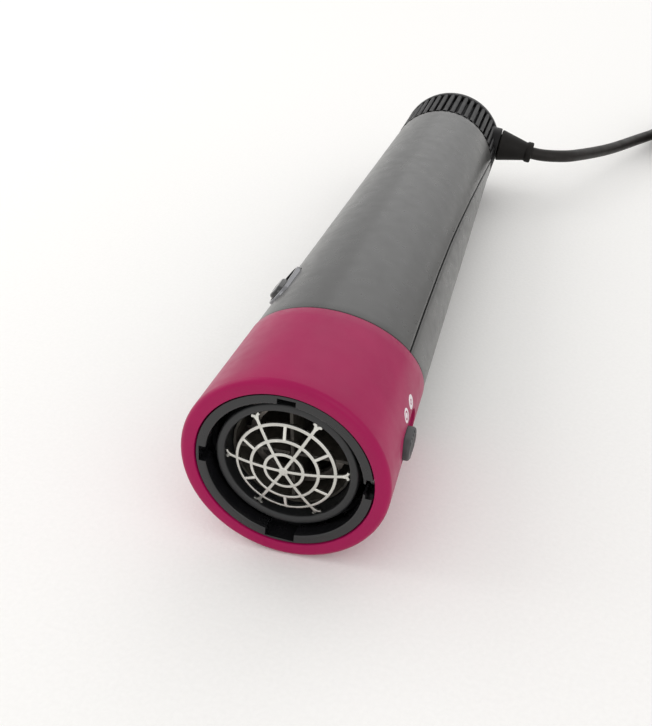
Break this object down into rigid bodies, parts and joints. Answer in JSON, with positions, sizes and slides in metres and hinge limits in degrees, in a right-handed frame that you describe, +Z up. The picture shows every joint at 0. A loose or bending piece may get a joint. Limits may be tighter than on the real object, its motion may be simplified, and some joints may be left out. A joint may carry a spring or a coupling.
{
  "type": "hot air brush handle",
  "caption": "Round tapered power handle of a hot air brush: magenta collar with domed web outlet, grey split shell, ribbed air inlet, side lock and mode sliders, cord with plug.",
  "frame": {"origin": "on the supporting surface, under the middle of the handle's box, measured without the cord", "axes": "+Z up, +Y along the handle from the air outlet to the tail, +X to the right seen from the outlet; the handle's own axis dips 1.16 degrees towards the tail, as it does when it lies on a flat surface"},
  "size_m": [0.211, 0.3516, 0.0518],
  "materials": {
    "collar_satin": "satin magenta moulding, smooth",
    "shell_grey": "fine-grained satin grey moulding",
    "black_moulding": "black moulding, slightly glossy",
    "intake_black": "black ribbed moulding",
    "heat_plastic": "near-black heat-resistant moulding",
    "knob_plastic": "dark grey satin",
    "knob_gloss": "dark glossy",
    "bright_chrome": "bright plated trim",
    "etched_steel": "photo-etched stainless sheet",
    "filter_mesh": "fine black woven mesh",
    "spring_steel": "bare steel",
    "mica_sheet": "dark pressed mica sheet",
    "heating_wire": "oxidised heating wire",
    "copper_winding": "lacquered copper winding",
    "soft_rubber": "matte black rubber",
    "board_green": "coated circuit board",
    "cord_sheath": "matte black flexible sheath",
    "tie_strap": "black hook-and-loop strap",
    "plug_moulding": "black moulded plug",
    "pin_brass": "nickel-plated brass pins"
  },
  "bodies": {
    "housing": {"collar": "collar_satin", "bayonet_ring": "black_moulding", "outlet_tube": "heat_plastic", "tube_carrier": "black_moulding", "outlet_grille": "etched_steel", "upper_shell": "shell_grey", "lower_shell": "shell_grey", "inner_sleeve": "black_moulding", "switch_bezel": "bright_chrome", "switch_body": "black_moulding", "mica_sleeve": "mica_sheet", "heater_board_a": "mica_sheet", "heater_board_b": "mica_sheet", "heater_winding_1": "heating_wire", "heater_winding_2": "heating_wire", "heater_winding_3": "heating_wire", "heater_winding_4": "heating_wire", "thermal_cutout": "spring_steel", "motor_housing": "heat_plastic", "motor_stator": "copper_winding", "motor_mount": "soft_rubber", "stator_vanes": "heat_plastic", "inlet_shroud": "black_moulding", "control_board": "board_green", "capacitor": "black_moulding", "power_module": "black_moulding", "choke": "copper_winding", "intake_ring": "intake_black", "filter_screen": "filter_mesh", "tail_cap": "intake_black", "tail_screw_1": "spring_steel", "tail_screw_2": "spring_steel", "terminal_block": "heat_plastic", "strain_relief": "soft_rubber", "cord_lead": "cord_sheath", "cord_coil": "cord_sheath", "cord_tail": "cord_sheath", "coil_tie": "tie_strap", "plug_body": "plug_moulding", "plug_pin_1": "pin_brass", "plug_pin_2": "pin_brass"},
    "lock_slider": {"lock_knob": "knob_plastic", "lock_latch": "spring_steel"},
    "mode_slider": {"switch_knob": "knob_gloss"},
    "fan_rotor": {"fan_shaft": "spring_steel", "impeller": "heat_plastic", "rotor_magnet": "spring_steel"}
  },
  "joints": [
    {"name": "lock_slide", "type": "slide", "parent": "housing", "child": "lock_slider", "axis": [0, 0.9998, -0.0202], "range_m": [0, 0.006]},
    {"name": "mode_slide", "type": "slide", "parent": "housing", "child": "mode_slider", "axis": [0, 0.9998, -0.0202], "range_m": [0, 0.006]},
    {"name": "fan_spin", "type": "hinge", "parent": "housing", "child": "fan_rotor", "pos_m": [0, 0.05471, 0.02233], "axis": [0, 0.9998, -0.0202], "continuous": true}
  ]
}
